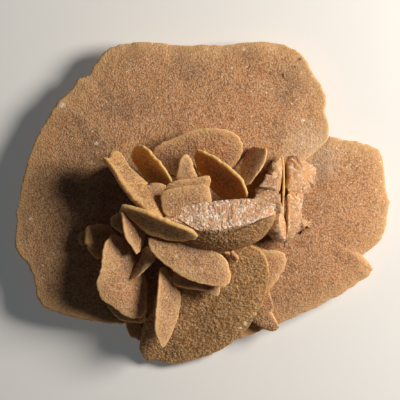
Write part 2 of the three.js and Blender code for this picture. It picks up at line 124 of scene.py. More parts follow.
def layered_noise(points: Array, size: float, seed: int, layers: int = 3) -> Array:
    """Soft noise added to itself at half the size and half the strength, layer by layer.

    Args:
        points: positions in millimetres.
        size: spacing of the widest layer's lattice in millimetres.
        seed: picks the noise.
        layers: how many layers are added.

    Returns:
        One value from 0 to 1 for each point.
    """
    strengths = 0.5 ** np.arange(layers)
    total = sum(s * soft_noise(points, size * s, seed + i) for i, s in enumerate(strengths))
    return total / strengths.sum()


def sand_grains(points: Array, size: float, seed: int) -> Array:
    """Height from 0 to 1 of a crust of round grains.

    Formula: each lattice cell holds one grain centre at a random place; a point's height is one minus
    the squared distance to the nearest centre, times that grain's own random height.

    Args:
        points: positions in millimetres.
        size: typical distance between two grains.
        seed: picks the crust.

    Returns:
        One height for each point.
    """
    scaled = points / size
    home = np.floor(scaled).astype(np.int64)
    nearest = np.full(points.shape[:-1], 9.0)
    tallness = np.zeros(points.shape[:-1])
    for offset in np.ndindex(3, 3, 3):
        cell = home + np.array(offset) - 1
        centre = cell + np.stack([scatter(cell, seed + k) for k in range(3)], axis=-1)
        distance = ((scaled - centre) ** 2).sum(axis=-1)
        closer = distance < nearest
        nearest = np.where(closer, distance, nearest)
        tallness = np.where(closer, scatter(cell, seed + 3), tallness)
    return np.clip(1.0 - nearest, 0.0, 1.0) * (0.35 + 0.65 * tallness)


def splinters(points: Array, size: float, seed: int) -> Array:
    """Height of a fresh break: flat steps of cleavage with sharp ridges between them.

    Formula: layered noise is rounded to the nearest fifth, and a ridge, one minus twice the distance of
    a second noise from its middle value, is added at half its strength. The sum is divided by 1.5.

    Args:
        points: positions in millimetres.
        size: width of the steps in millimetres.
        seed: picks the break.

    Returns:
        One height, from 0 to about 1, for each point.
    """
    steps = np.floor(layered_noise(points, size, seed, 2) * 5.0 + 0.5) / 5.0
    ridge = 1.0 - np.abs(2.0 * layered_noise(points, size * 0.45, seed + 9, 2) - 1.0)
    return (steps + 0.5 * ridge) / 1.5


def rise(values: Array, start: float, width: float) -> Array:
    """A straight rise from 0 at the start to 1 at the start plus the width, flat beyond both."""
    return ((values - start) / width).clip(0.0, 1.0)


# ---------------- what a packed blade says


RAYS = 512                  # directions in which a blade's outline is measured
NEAR_EDGE = 0.9             # how far out towards the edge a blade's thickness is measured
MAX_SLANT = 1.8             # the most that a step square to the outline is stretched along a ray
LEAST = 0.05                # least reach or thickness, in millimetres


def smooth_round(values: Array, width: int) -> Array:
    """Running mean of a closed ring of values.

    Args:
        values: one for each ray.
        width: how many neighbours are averaged, an odd number.

    Returns:
        As many values, smoothed.
    """
    reach = width // 2
    padded = np.concatenate([values[-reach:], values, values[:reach]])
    return np.convolve(padded, np.ones(width) / width, mode="valid")


@dataclass
class Side:
    """One face of a blade: how far it reaches in each direction, and how high it stands."""

    reach: Array            # distance of the face's edge, one for each ray
    near_edge: Array        # height near that edge, one for each ray
    middle: float           # height over the blade's middle

    def slant(self) -> Array:
        """How much further a step square to the outline reaches when it is taken along the ray.

        Formula: the root of one plus the square of the outline's slope over its reach, up to a limit.

        Returns:
            One factor for each ray.
        """
        even = smooth_round(self.reach, 5)
        slope = (np.roll(even, -1) - np.roll(even, 1)) * RAYS / (4.0 * math.pi)
        return np.sqrt(1.0 + (slope / even) ** 2).clip(1.0, MAX_SLANT)


class PackedBlade:
    """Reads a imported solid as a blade: a flat frame, an outline and the heights of its two faces."""

    def __init__(self, node: str, facing: float) -> None:
        """Measures the solid.

        Args:
            node: the CAD node's name.
            facing: cosine of the most that a face's triangle may lean.
        """
        corners, triangles = self._merged(frame["nodes"][node])
        a, b, c = (corners[triangles[:, k]] for k in range(3))
        across = np.cross(b - a, c - a)
        area = np.linalg.norm(across, axis=1)
        normals = across / np.maximum(area, 1e-12)[:, None]
        self.centre: Array = ((a + b + c) / 3.0 * area[:, None]).sum(0) / area.sum()
        self.axes: Array = self._axes((normals * area[:, None]).T @ normals)
        local = (corners - self.centre) @ self.axes.T
        lean = normals @ self.axes[2]
        self.angles: Array = np.arange(RAYS) * (2.0 * math.pi / RAYS)
        self.rays: Array = np.stack([np.cos(self.angles), np.sin(self.angles)], axis=1)
        self.top = self._side(local, triangles[lean > facing], 1.0)
        self.bottom = self._side(local, triangles[lean < -facing], -1.0)

    @staticmethod
    def _merged(thing: bpy.types.Object) -> tuple[Array, Array]:
        """Reads a node's mesh.

        Args:
            thing: the CAD node.

        Returns:
            Its corners in millimetres, each once, and its triangles as indices of them.
        """
        mesh = thing.data
        mesh.calc_loop_triangles()
        flat = np.empty(len(mesh.vertices) * 3)
        mesh.vertices.foreach_get("co", flat)
        index = np.empty(len(mesh.loop_triangles) * 3, dtype=np.int32)
        mesh.loop_triangles.foreach_get("vertices", index)
        keys = np.round(flat.reshape(-1, 3) / MM, 3)
        corners, same = np.unique(keys, axis=0, return_inverse=True)
        return corners, same.reshape(-1)[index].reshape(-1, 3)

    @staticmethod
    def _axes(spread: Array) -> Array:
        """Finds the blade's own frame.

        The normal is the direction that most of the surface faces: the strongest eigenvector of the
        spread. The first row is level.

        Args:
            spread: the area-weighted sum of each triangle's normal times itself.

        Returns:
            Rows along the blade, up the blade and out of its upper face.
        """
        normal = np.linalg.eigh(spread)[1][:, -1]
        normal = normal * (1.0 if normal[2] >= 0.0 else -1.0)
        level = np.cross([0.0, 0.0, 1.0], normal)
        if np.linalg.norm(level) < 0.1:
            level = np.array([1.0, 0.0, 0.0]) - normal * normal[0]
        level = level / np.linalg.norm(level)
        return np.stack([level, np.cross(normal, level), normal])

    def _side(self, local: Array, triangles: Array, up: float) -> Side:
        """Measures one face.

        Args:
            local: corners in the blade's frame.
            triangles: the face's triangles.
            up: 1 for the upper face and -1 for the lower one.

        Returns:
            The face's reach and heights.
        """
        reach = self._reach(local, triangles)
        spots = self.rays * (reach * NEAR_EDGE)[:, None]
        heights = self._heights(local, triangles, np.vstack([spots, [[0.0, 0.0]]]), up)
        return Side(reach, heights[:-1], float(heights[-1]))

    def around(self, values: Array, at: Array) -> Array:
        """Reads values that are given ray by ray at any angle.

        Args:
            values: one for each ray.
            at: angles from 0 to a full turn.

        Returns:
            One value for each angle, on the straight line between the nearest two rays.
        """
        turns = np.append(self.angles, 2.0 * math.pi)
        return np.interp(at, turns, np.append(values, values[0]))

    def _reach(self, local: Array, triangles: Array) -> Array:
        """Finds the furthest crossing of each ray with the triangles' edges, seen square on.

        Args:
            local: corners in the blade's frame.
            triangles: the face's triangles.

        Returns:
            One distance for each ray.
        """
        start = local[triangles][:, :, :2].reshape(-1, 2)
        edge = local[np.roll(triangles, -1, axis=1)][:, :, :2].reshape(-1, 2) - start
        cross_ray = self.rays[:, None, 0] * edge[None, :, 1] - self.rays[:, None, 1] * edge[None, :, 0]
        cross_ray = np.where(np.abs(cross_ray) < 1e-12, 1e-12, cross_ray)
        along_ray = (start[:, 0] * edge[:, 1] - start[:, 1] * edge[:, 0])[None, :] / cross_ray
        turned = start[None, :, 0] * self.rays[:, None, 1] - start[None, :, 1] * self.rays[:, None, 0]
        along_edge = turned / cross_ray
        met = (along_edge >= 0.0) & (along_edge <= 1.0) & (along_ray > 0.0)
        return np.where(met, along_ray, LEAST).max(axis=1)

    @staticmethod
    def _heights(local: Array, triangles: Array, spots: Array, up: float) -> Array:
        """Reads the height of the face at each spot off the triangle that lies over it.

        Formula: the spot is written as weights of the triangle's three corners; where all three are
        positive the spot is inside, and the height is the same mix of the corners' heights. A spot that
        no triangle covers takes the height of the nearest corner.

        Args:
            local: corners in the blade's frame.
            triangles: the face's triangles.
            spots: level positions in that frame.
            up: 1 for the upper face and -1 for the lower one.

        Returns:
            One height for each spot.
        """
        a, b, c = (local[triangles[:, k]] for k in range(3))
        ab, ac = (b - a)[:, :2], (c - a)[:, :2]
        area = ab[:, 0] * ac[:, 1] - ab[:, 1] * ac[:, 0]
        area = np.where(np.abs(area) < 1e-9, 1e-9, area)
        offset = spots[:, None, :] - a[None, :, :2]
        w_b = (offset[..., 0] * ac[:, 1] - offset[..., 1] * ac[:, 0]) / area
        w_c = (ab[:, 0] * offset[..., 1] - ab[:, 1] * offset[..., 0]) / area
        height = a[:, 2] + w_b * (b - a)[:, 2] + w_c * (c - a)[:, 2]
        inside = (w_b > -1e-6) & (w_c > -1e-6) & (w_b + w_c < 1.0 + 1e-6)
        best = np.where(inside, height * up, -1e9).max(axis=1) * up
        used = local[np.unique(triangles)]
        nearest = ((spots[:, None, :] - used[None, :, :2]) ** 2).sum(-1).argmin(axis=1)
        return np.where(inside.any(axis=1), best, used[nearest, 2])


# ---------------- the crystal that stands for it


PACKED_EDGE = 0.45          # half the thickness of a packed blade's thinnest free edge
FREE_SHARE = 0.25           # share of the swelling that a free edge has where it is measured
CUT_SHARE = 0.45            # share of the swelling beyond that at which an edge counts as cut
SLANT_ROOM = 0.5            # how much further one face may reach than the other at a free edge
CUT_FADE = 0.5              # how far in a cut edge is felt on the faces
LEAST_GRID = 24.0           # fewest points along a side of a face's grid
FINE_BITE, WIDE_BITE = 0.9, 2.8     # sizes of the bites in a rim
WAVE_LENGTH = 6.5           # distance between the slow waves on a face
RIM_CALM = 0.75             # how much of the grains' height is lost at a free rim
FINE_GRAIN = 0.62           # distance between the grains of the blades whose crust shows most
SPLINTER_SIZE = 2.6         # width of the steps on a fresh break
CRUMB_SIZE, CRUMB_HEIGHT = 0.75, 0.3    # the crumbs that lie on them
BREAK_DEPTH = 4.0           # how far below its top a cut edge may be broken
FLECK_PEAK, FLECK_BASE = 2.2, 0.7       # a fleck is this bell's part between its base and one above it
FLECK_LEAN = 0.2            # least upward lean of a face that shows flecks


class Break(Enum):
    """Where a crystal is freshly broken."""

    NOWHERE = 0
    CUT_EDGE = 1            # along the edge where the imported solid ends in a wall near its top
    UPPER_FACE = 2          # all over the face that looks up


class Seed(IntEnum):
    """What is added to a crystal's seed for each of its noises."""

    FINE_BITES = 31
    WIDE_BITES = 32
    WAVES = 41
    GRAINS = 42
    SPLINTERS = 51
    CRUMBS = 52


def disc_grid(count: int) -> tuple[Array, Array]:
    """A square grid bent into a disc with cells of even size.

    Formula: square rings become round rings; on each ring the angle runs evenly along the square's
    sides, a quarter turn a side.

    Args:
        count: points along a side of the grid.

    Returns:
        Distance from the middle, from 0 to 1, and the angle, both as count by count arrays.
    """
    line = np.linspace(-1.0, 1.0, count)
    x, y = np.meshgrid(line, line, indexing="ij")
    wide = np.abs(x) >= np.abs(y)
    radius = np.where(wide, x, y)
    with np.errstate(divide="ignore", invalid="ignore"):
        turn = np.where(wide, math.pi / 4.0 * y / x, math.pi / 2.0 - math.pi / 4.0 * x / y)
    turn = np.nan_to_num(turn)
    px, py = radius * np.cos(turn), radius * np.sin(turn)
    return np.hypot(px, py), np.mod(np.arctan2(py, px), 2.0 * math.pi)


def ring_of(count: int) -> Array:
    """Indices of a count by count grid's outer ring, once round in the order of rising angle."""
    index = np.arange(count * count).reshape(count, count)
    return np.concatenate([index[-1, :-1], index[::-1, -1][:-1], index[0, ::-1][:-1], index[:-1, 0]])


@dataclass(frozen=True)
class Inclusion:
    """A place where a face differs: a dark grain, a pale fleck (on the round front plate partly a painted
    highlight), or a wide and weak pale patch.
    """

    x: float
    y: float
    size: float
    pale: bool = False
    strength: float = 1.0


@dataclass
class Crystal:
    """One blade of the rose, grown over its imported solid."""

    node: str               # the CAD node it stands for
    cell: float = 0.32      # size of a mesh cell
    sharp: float = 0.26     # half the thickness of a free edge
    nibble: float = 0.75    # how deep the rim is eaten into
    wave: float = 0.22      # height of the slow waves on a face
    grain: float = 0.15     # height of the sand grains
    grain_size: float = 0.85    # distance between them
    overlap: float = 0.7    # how far a cut edge runs on into the blade beside it
    dive: float = 0.3       # how much the upper face sinks on its way to a cut edge
    fullness: float = 0.55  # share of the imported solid's swelling that the faces keep
    flatness: float = 3.0   # how far out a face stays flat: higher is flatter
    facing: float = 0.6     # cosine of the most that a face leans from the blade's own normal
    rim_width: float = 1.1  # how far in from a free edge its paler colour, partly painted glow, runs
    rounding: float = 0.3   # how far a free edge bulges out between its two faces
    broken: Break = Break.NOWHERE
    jagged: float = 0.6     # height of the splinters on a break
    clean: float = 1.0      # how free of sand a break is
    band_rows: int = 4      # rows of cells between the two rims
    seed: int = 0           # picks the crystal's noise
    inclusions: tuple[Inclusion, ...] = ()

    def build(self) -> bpy.types.Object:
        """Makes the mesh and its attributes and puts it in place of its CAD node.

        Returns:
            The piece, still without a material.
        """
        blade = PackedBlade(self.node, self.facing)
        points, faces, marks = self._surface(blade)
        points, marks = self._roughen(points, faces, marks)
        piece = mesh_piece(f"crystal_{self.node}", points * MM, faces, marks)
        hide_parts(self.node)
        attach(piece, BODY)
        log.info("%s: %d points", piece.name, len(points))
        return piece

    def _surface(self, blade: PackedBlade) -> tuple[Array, Array, dict[str, Array]]:
        """Works out the smooth crystal: two faces, and the band between their rims.

        Args:
            blade: the measured solid.

        Returns:
            Points in millimetres, quads, and each point's share in a free rim and in a cut.
        """
        reach = max(blade.top.reach.max(), blade.bottom.reach.max())
        count = int(max(2.0 * reach / self.cell, LEAST_GRID))
        grid, ring = disc_grid(count), ring_of(count)
        top, bottom, cut = self._edges(blade)
        nibbled = self._nibble(blade, top, cut)
        (upper, upper_depth), (lower, lower_depth) = (
            self._face(blade, side, edge, cut, nibbled, grid)
            for side, edge in ((blade.top, top), (blade.bottom, bottom)))
        walled = blade.around(cut, grid[1]).reshape(-1)
        out = np.stack([np.cos(grid[1]), np.sin(grid[1])], axis=-1).reshape(-1, 2)
        rows = self._band(upper[ring], lower[ring], out[ring], walled[ring])
        points = blade.centre + np.concatenate([upper, lower, *rows]) @ blade.axes
        depths = (upper_depth, lower_depth)
        # the rim share: it draws the paler rim colour with its painted glow, and calms the grains
        rim = [np.exp(-d / self.rim_width) * (1.0 - walled) for d in depths]
        wall = [np.exp(-d / CUT_FADE) * walled for d in depths]
        marks = {"rim": np.concatenate(rim + [1.0 - walled[ring]] * len(rows)),
                 "cut": np.concatenate(wall + [walled[ring]] * len(rows))}
        return points, self._faces(count, ring, len(rows)), marks

    def _face(self, blade: PackedBlade, side: Side, edge: Array, cut: Array, nibbled: Array,
              grid: tuple[Array, Array]) -> tuple[Array, Array]:
        """Works out one face.

        Formula, at distance r from the middle and angle t: the point lies r times the reach of the
        face out along t; its height is the edge height plus the rest of the way up to the middle
        height, times (1 - r to the power of flatness) to the power 0.9.

        Args:
            blade: the measured solid.
            side: the solid's face.
            edge: height of the face's edge, one for each ray.
            cut: how far each ray's edge is a cut wall.
            nibbled: how far each ray's edge is eaten in.
            grid: distance from the middle and angle of the face's points.

        Returns:
            The points in the blade's own frame, and how far each is from the rim.
        """
        r, angle = grid
        run_on = cut * self.overlap * side.slant() - (1.0 - cut) * self.rounding
        rim = blade.around(side.reach + run_on - nibbled, angle)
        dome = (1.0 - r ** self.flatness).clip(0.0, 1.0) ** 0.9
        low = blade.around(edge, angle)
        centre = (blade.top.middle + blade.bottom.middle) / 2.0
        peak = centre + (side.middle - centre) * self.fullness
        height = low + (peak - low) * dome
        flat = np.stack([r * rim * np.cos(angle), r * rim * np.sin(angle), height], axis=-1)
        return flat.reshape(-1, 3), ((1.0 - r) * rim).reshape(-1)

    def _band(self, upper: Array, lower: Array, out: Array, walled: Array) -> list[Array]:
        """Works out the band between the rims: half an ellipse on a free edge, flat on a cut one.

        Args:
            upper: the upper rim's points.
            lower: the lower rim's points.
            out: level direction outward at each of them.
            walled: how far the edge is a cut wall there.

        Returns:
            The rows between the two rims, from the upper one down.
        """
        half = (upper[:, 2] - lower[:, 2]) / 2.0
        bulge = np.minimum(half, self.rounding * (1.0 - walled))
        rows = []
        for k in range(1, self.band_rows):
            share = k / self.band_rows
            row = upper + (lower - upper) * (1.0 - math.cos(math.pi * share)) / 2.0
            row[:, :2] += out * (bulge * math.sin(math.pi * share))[:, None]
            rows.append(row)
        return rows

    def _edges(self, blade: PackedBlade) -> tuple[Array, Array, Array]:
        """Tells free edges from cut ones and says how high they lie.

        A free edge thins out to `sharp` about the middle height; a cut one keeps the height that the
        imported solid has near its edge.

        Args:
            blade: the measured solid.

        Returns:
            For each ray, the edge's height on the upper and on the lower face, and how far the edge is
            a cut wall, from 0 to 1.
        """
        half = (blade.top.near_edge - blade.bottom.near_edge) / 2.0
        heart = (blade.top.middle - blade.bottom.middle) / 2.0
        free = PACKED_EDGE + (heart - PACKED_EDGE) * FREE_SHARE
        cut = rise(half, free, max(CUT_SHARE * (heart - free), LEAST))
        slanted = (np.abs(blade.top.reach - blade.bottom.reach) - SLANT_ROOM).clip(0.0, 1.0)
        cut = smooth_round(np.maximum(cut, slanted), 5)
        middle = (blade.top.near_edge + blade.bottom.near_edge) / 2.0
        centre = (blade.top.middle + blade.bottom.middle) / 2.0
        middle = smooth_round(centre + (middle - centre) / NEAR_EDGE, 9)
        sunk = smooth_round(blade.top.near_edge, 5) - self.dive
        top = middle + self.sharp + (sunk - middle - self.sharp) * cut
        bottom = smooth_round(blade.bottom.near_edge, 5) * cut + (middle - self.sharp) * (1.0 - cut)
        return top, bottom, cut

    def _nibble(self, blade: PackedBlade, height: Array, cut: Array) -> Array:
        """Eats into the rim.

        Formula: 0.6 of a fine noise at the rim's own points plus 0.7 of a wide one, less a half, times
        the nibble; none on a cut edge.

        Args:
            blade: the measured solid.
            height: height of the upper face's edge, one for each ray.
            cut: how far each ray's edge is a cut wall.

        Returns:
            How far the rim is eaten in at each ray.
        """
        flat = np.column_stack([blade.rays * blade.top.reach[:, None], height])
        rim = blade.centre + flat @ blade.axes
        fine = soft_noise(rim, FINE_BITE, self.seed + Seed.FINE_BITES)
        wide = soft_noise(rim, WIDE_BITE, self.seed + Seed.WIDE_BITES)
        return (fine * 0.6 + wide * 0.7 - 0.5) * self.nibble * (1.0 - cut)

    @staticmethod
    def _faces(count: int, ring: Array, rows: int) -> Array:
        """Lists the quads of the upper face, the lower face turned over, and the band between them.

        Args:
            count: points along a side of a face's grid.
            ring: indices of a face's rim.
            rows: how many rows of points the band has.

        Returns:
            Four point indices a row.
        """
        index = np.arange(count * count).reshape(count, count)
        quads = np.stack([index[:-1, :-1], index[1:, :-1], index[1:, 1:], index[:-1, 1:]], -1)
        quads = quads.reshape(-1, 4)
        lower = quads[:, ::-1] + count * count
        first = 2 * count * count
        levels = [ring, *[first + k * len(ring) + np.arange(len(ring)) for k in range(rows)],
                  ring + count * count]
        band = [np.stack([a, b, np.roll(b, -1), np.roll(a, -1)], -1) for a, b in zip(levels, levels[1:])]
        return np.concatenate([quads, lower, *band])

    def _roughen(self, points: Array, faces: Array,
                 marks: dict[str, Array]) -> tuple[Array, dict[str, Array]]:
        """Presses waves, grains and breaks into the surface, along its normals.

        Formula: slow waves of layered noise plus a crust of sand grains that is weaker towards a free
        rim, or splinters and crumbs where the crystal is broken. Nothing sinks below the ground.

        Args:
            points: the smooth crystal's points in millimetres.
            faces: its quads.
            marks: each point's share in a free rim and in a cut.

        Returns:
            The moved points, and the marks that the finish reads.
        """
        normals = vertex_normals(points, faces)
        broken = self._broken(points, normals, marks)
        calm = 1.0 - RIM_CALM * marks["rim"]
        waves = (layered_noise(points, WAVE_LENGTH, self.seed + Seed.WAVES) - 0.5) * 2.0 * self.wave
        grains = (sand_grains(points, self.grain_size, self.seed + Seed.GRAINS) - 0.45) * self.grain
        move = (waves + grains * calm) * (1.0 - broken)
        rough = (splinters(points, SPLINTER_SIZE, self.seed + Seed.SPLINTERS) - 0.6) * self.jagged
        rough += (sand_grains(points, CRUMB_SIZE, self.seed + Seed.CRUMBS) - 0.4) * CRUMB_HEIGHT
        move += broken * rough
        moved = points + normals * move[:, None]
        moved[:, 2] = np.maximum(moved[:, 2], 0.0)
        return moved, {"rim": marks["rim"] * (1.0 - broken), "broken": broken,
                       "height": np.clip(grains / max(self.grain, 1e-6) + 0.45, 0.0, 1.0),
                       "dark_fleck": self._flecks(moved, normals, False),
                       "pale_fleck": self._flecks(moved, normals, True)}

    def _flecks(self, points: Array, normals: Array, pale: bool) -> Array:
        """Places the odd grains of one kind on the faces that look up; on the round front plate the pale
        ones are partly a painted highlight of its lit rim.

        Formula: a bell curve of the level distance to each grain's place, raised and cut off so that
        it has a flat top and a short edge, times the grain's strength; the strongest one counts.

        Args:
            points: positions in millimetres.
            normals: the surface's normal at each of them.
            pale: whether the pale grains are wanted, or else the dark ones.

        Returns:
            How strongly they show at each point, from 0 to 1.
        """
        total = np.zeros(len(points))
        for grain in self.inclusions:
            if grain.pale is pale:
                distance = (points[:, 0] - grain.x) ** 2 + (points[:, 1] - grain.y) ** 2
                bell = FLECK_PEAK * np.exp(-distance / grain.size ** 2)
                spot = (bell - FLECK_BASE).clip(0.0, 1.0)
                total = np.maximum(total, spot * grain.strength)
        return total * (normals[:, 2] > FLECK_LEAN)

    def _broken(self, points: Array, normals: Array, marks: dict[str, Array]) -> Array:
        """Finds the fresh break.

        Args:
            points: positions in millimetres.
            normals: the surface's normal at each of them.
            marks: each point's share in a free rim and in a cut.

        Returns:
            How far each point lies on the break, from 0 to 1.
        """
        if self.broken is Break.NOWHERE:
            return np.zeros(len(points))
        if self.broken is Break.UPPER_FACE:
            return np.minimum(rise(normals[:, 2], start=0.05, width=0.3), self.clean)
        upward = rise(normals[:, 2], start=0.45, width=0.2)
        high = rise(points[:, 2] - points[:, 2].max(), start=-BREAK_DEPTH, width=1.5)
        return marks["cut"].clip(0.0, 1.0) ** 0.5 * upward * high


def vertex_normals(points: Array, faces: Array) -> Array:
    """Works out smooth normals: the sum of each point's quads' diagonal cross products, made one long.

    Args:
        points: positions.
        faces: four point indices a row.

    Returns:
        One normal for each point.
    """
    cross = np.cross(points[faces[:, 2]] - points[faces[:, 0]], points[faces[:, 3]] - points[faces[:, 1]])
    total = np.stack([np.bincount(faces.reshape(-1), np.repeat(cross[:, k], 4), len(points))
                      for k in range(3)], axis=-1)
    return total / np.maximum(np.linalg.norm(total, axis=1), 1e-12)[:, None]


def mesh_piece(name: str, points: Array, faces: Array, marks: dict[str, Array]) -> bpy.types.Object:
    """Puts points, quads and point attributes into a new smooth-shaded object at the origin.

    Args:
        name: the piece's name.
        points: positions in metres.
        faces: four point indices a row.
        marks: attribute name to one number a point.

    Returns:
        The object, linked to the scene.
    """
    mesh = bpy.data.meshes.new(name)
    mesh.vertices.add(len(points))
    mesh.vertices.foreach_set("co", points.astype(np.float32).reshape(-1))
    mesh.loops.add(faces.size)
    mesh.loops.foreach_set("vertex_index", faces.astype(np.int32).reshape(-1))
    mesh.polygons.add(len(faces))
    mesh.polygons.foreach_set("loop_start", np.arange(len(faces), dtype=np.int32) * 4)
    mesh.update(calc_edges=True)
    mesh.shade_smooth()
    for mark, values in marks.items():
        mesh.attributes.new(mark, "FLOAT", "POINT").data.foreach_set("value", values.astype(np.float32))
    piece = bpy.data.objects.new(name, mesh)
    bpy.context.scene.collection.objects.link(piece)
    return piece


# ---------------- finishes


GYPSUM_IOR = 1.52

def srgb(code: str) -> tuple[float, float, float, float]:
    """Turns an sRGB hex colour into linear light, by the sRGB curve.

    Args:
        code: a colour such as #c5966f.

    Returns:
        Linear red, green and blue, and an alpha of one.
    """
    parts = np.array([int(code[k:k + 2], 16) for k in (1, 3, 5)]) / 255.0
    linear = np.where(parts <= 0.04045, parts / 12.92, ((parts + 0.055) / 1.055) ** 2.4)
    return (*linear.tolist(), 1.0)


class Graph:
    """A material's nodes under construction: every method adds one node and returns what it gives."""

    def __init__(self, material: bpy.types.Material) -> None:
        """Empties the material's node tree and starts from the object's own coordinates.

        Args:
            material: the material whose nodes are built.
        """
        material.use_nodes = True
        self.tree: bpy.types.NodeTree = material.node_tree
        self.tree.nodes.clear()
        self.place: Socket = self.add("ShaderNodeTexCoord").outputs["Object"]

    def add(self, kind: str, settings: dict | None = None, inputs: dict | None = None,
            links: dict | None = None) -> bpy.types.Node:
        """Adds a node with its settings, constant inputs and links.

        Args:
            kind: the node's type name.
            settings: node property to value.
            inputs: socket name or number to constant.
            links: socket name or number to the output that feeds it.

        Returns:
            The node.
        """
        node = self.tree.nodes.new(kind)
        for key, value in (settings or {}).items():
            setattr(node, key, value)
        for key, value in (inputs or {}).items():
            node.inputs[key].default_value = value
        for key, source in (links or {}).items():
            self.tree.links.new(source, node.inputs[key])
        return node

    def mark(self, name: str) -> Socket:
        """One of the crystal's own attributes."""
        return self.add("ShaderNodeAttribute", {"attribute_name": name}).outputs["Fac"]

    def noise(self, size: float, detail: float) -> Socket:
        """Cloudy noise whose largest lumps are `size` millimetres wide."""
        return self.add("ShaderNodeTexNoise", {},
                        {"Scale": 1.0 / (size * MM), "Detail": detail, "Roughness": 0.6},
                        {"Vector": self.place}).outputs["Fac"]

    def cells(self, size: float) -> bpy.types.Node:
        """Scattered cells `size` millimetres apart, each with its own random colour."""
        return self.add("ShaderNodeTexVoronoi", {}, {"Scale": 1.0 / (size * MM), "Randomness": 1.0},
                        {"Vector": self.place})

    def split(self, colour: Socket) -> bpy.types.Node:
        """A colour's red, green and blue."""
        return self.add("ShaderNodeSeparateColor", links={"Color": colour})

    def ramp(self, value: Socket, start: float, end: float) -> Socket:
        """Turns a value into 0 at start and 1 at end, smoothly, and flat beyond both."""
        return self.add("ShaderNodeMapRange", {"interpolation_type": "SMOOTHSTEP"},
                        {"From Min": start, "From Max": end}, {"Value": value}).outputs["Result"]

    def between(self, share: Socket, low: float, high: float) -> Socket:
        """The number a share of the way from low to high."""
        return self.add("ShaderNodeMapRange", {}, {"To Min": low, "To Max": high},
                        {"Value": share}).outputs["Result"]

    def scaled(self, value: Socket, by: float) -> Socket:
        """A value times a constant."""
        return self.add("ShaderNodeMath", {"operation": "MULTIPLY"}, {1: by}, {0: value}).outputs[0]

    def times(self, first: Socket, second: Socket) -> Socket:
        """One value times another."""
        return self.add("ShaderNodeMath", {"operation": "MULTIPLY"},
                        links={0: first, 1: second}).outputs[0]

    def mix(self, share: Socket, first: Colour, second: Colour) -> Socket:
        """Mixes two colours, each a constant or another node's output.

        Args:
            share: how much of the second colour is taken.
            first: the colour at a share of 0.
            second: the colour at a share of 1.

        Returns:
            The mixed colour.
        """
        ends = {6: first, 7: second}
        inputs = {key: value for key, value in ends.items() if isinstance(value, tuple)}
        links = {key: value for key, value in ends.items() if not isinstance(value, tuple)}
        return self.add("ShaderNodeMix", {"data_type": "RGBA"}, inputs, {0: share, **links}).outputs[2]


